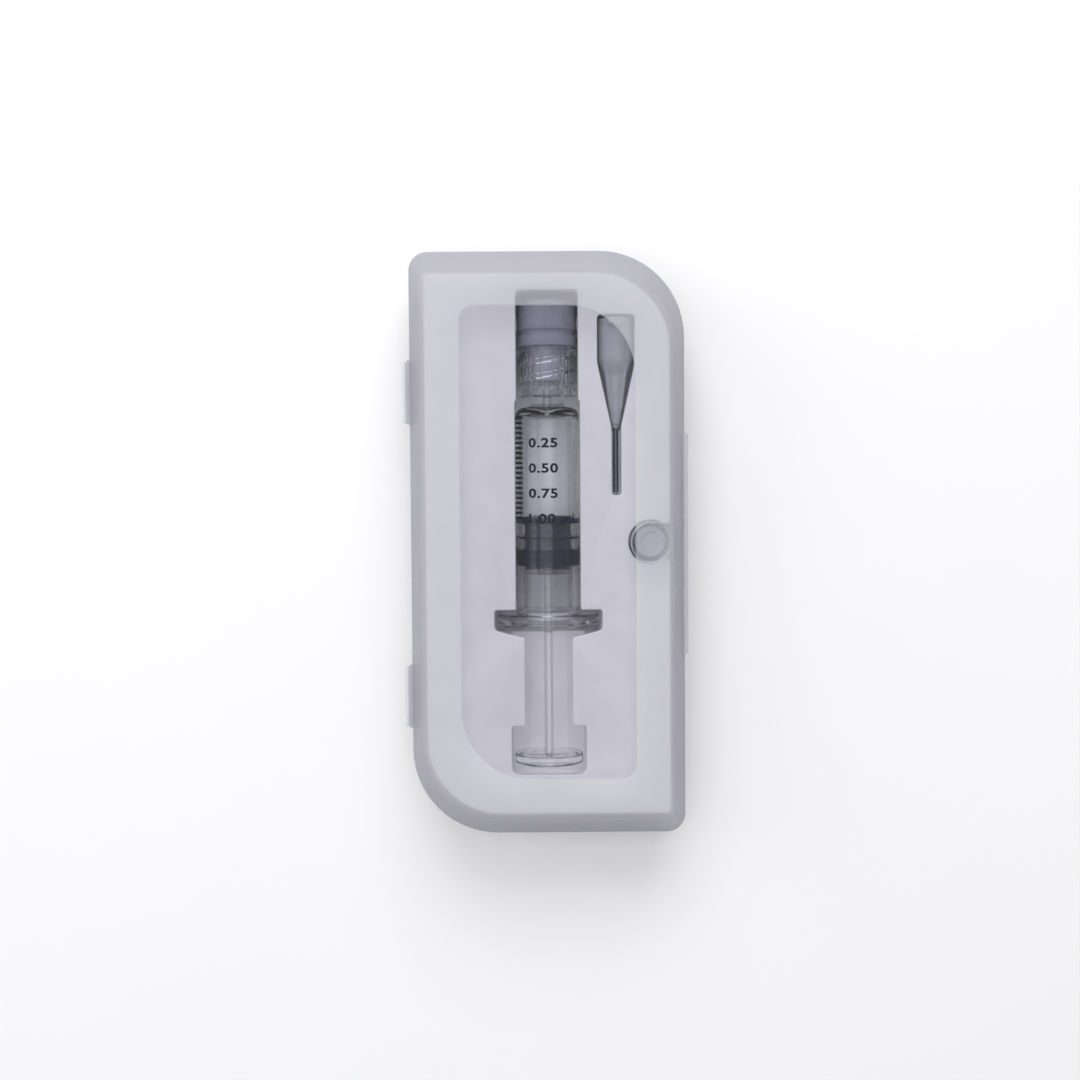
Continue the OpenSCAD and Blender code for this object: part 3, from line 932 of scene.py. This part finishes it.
def build_glue():
    y1 = hub_lo.y - 0.02
    return lathe("glue_bead", [(0.47, y1 - 0.68, 0.05), (0.52, y1 - 0.68, 0.05), (0.6, y1 - 0.3, 0.2),
                               (0.66, y1, 0.03), (0.47, y1, 0.03)], NEEDLE_X, NEEDLE_Z, 48, closed=True)


steel = solid("needle_steel", (0.13, 0.14, 0.17), (0.18, 0.19, 0.22), 0.22, 0.34, 900, 4000, 0.1)
steel.node_tree.nodes["Principled BSDF"].inputs["Metallic"].default_value = 1.0
smoky = Nodes("smoky_hub")
smoky.link(smoky.ramp(smoky.noise(400, 3), (0.60, 0.62, 0.66), (0.66, 0.68, 0.72), 0.3, 0.7),
           smoky.shader.inputs["Base Color"])
smoky.shader.inputs["Roughness"].default_value = 0.3
smoky.bump(smoky.noise(5000, 2), 0.15, 0.00002)
smoky.see_through(0.35)
glue = Nodes("clear_glue")
glue.link(glue.ramp(glue.noise(900, 2), (0.5, 0.53, 0.5), (0.6, 0.63, 0.6)), glue.shader.inputs["Base Color"])
glue.shader.inputs["Roughness"].default_value = 0.2
glue.see_through(0.4)

finish_piece(build_hub(), CASE, ["needle_hub"], smoky.material)
finish_piece(build_cannula(), CASE, ["cannula"], steel)
finish_piece(build_glue(), CASE, ["cannula_glue"], glue.material)

# ------------------------------------------------------------------ hinge webs

web_mat = frosted("web_skin", 0.25, 0.4, (0.82, 0.82, 0.86), CLEAR_TINT, 0.2)


def build_web(name, node):
    low, high = box_mm(node)
    x, z = (low.x + high.x) / 2, (low.z + high.z) / 2
    r = (high.x - low.x) / 2
    return lathe(name, [(0, low.y, 0), (r, low.y, 0.15), (r, high.y, 0.15), (0, high.y, 0)], x, z, 32)


for end in ("upper", "lower"):
    node = end + "_hinge_web"
    finish_piece(build_web(end + "_web", node), CASE, [node], web_mat)

# ------------------------------------------------------------------ floor, light and camera


def build_floor():
    bm = bmesh.new()
    bmesh.ops.create_grid(bm, x_segments=1, y_segments=1, size=1500)
    floor = new_object("floor", bm)
    m = Nodes("floor_paper")
    m.link(m.ramp(m.noise(30, 3), (0.86, 0.86, 0.865), (0.88, 0.88, 0.885)), m.shader.inputs["Base Color"])
    m.shader.inputs["Roughness"].default_value = 0.85
    floor.data.materials.append(m.material)


def area_light(name, place, target, size, power):
    data = bpy.data.lights.new(name, "AREA")
    data.shape = "RECTANGLE"
    data.size, data.size_y = size
    data.energy = power
    light = add_object(name, data)
    light.location = place
    light.rotation_euler = (Vector(target) - Vector(place)).to_track_quat("-Z", "Y").to_euler()


def build_camera():
    """Almost straight above the case, a little off its middle."""
    distance = 0.262
    view_width = 182.52 * MM      # across the picture at that distance
    sensor = 36
    tilt = math.radians(2.5)
    roll = math.radians(0.4)
    aim = Vector((-1.35, 0.9, 15)) * MM
    offset = Vector((0, math.sin(tilt), math.cos(tilt))) * distance
    look = -offset.normalized()
    right = Vector((1, 0, 0))
    up = right.cross(look)
    turned_right = right * math.cos(roll) - up * math.sin(roll)
    turned_up = right * math.sin(roll) + up * math.cos(roll)
    data = bpy.data.cameras.new("camera")
    data.sensor_width = sensor
    data.lens = sensor * distance / view_width
    data.clip_start = 0.01
    camera = add_object("camera", data)
    rows = Matrix((turned_right, turned_up, -look)).transposed().to_4x4()
    camera.matrix_world = Matrix.Translation(aim + offset) @ rows
    bpy.context.scene.camera = camera


build_floor()
build_camera()
area_light("window_light", (0.0, 0.55, 0.5), (0, 0, 0), (0.6, 0.4), 3.3)
area_light("top_light", (-0.1, 0.0, 0.8), (0, 0, 0), (0.7, 0.7), 2.0)
area_light("fill_light", (-0.55, 0.15, 0.35), (0, 0, 0), (0.4, 0.4), 0.7)

world = bpy.data.worlds.new("studio")
world.use_nodes = True
world.node_tree.nodes["Background"].inputs["Color"].default_value = (0.98, 0.98, 1.0, 1)
world.node_tree.nodes["Background"].inputs["Strength"].default_value = 0.47
bpy.context.scene.world = world
bpy.context.scene.view_settings.view_transform = "Standard"
bpy.context.scene.cycles.transparent_max_bounces = 24
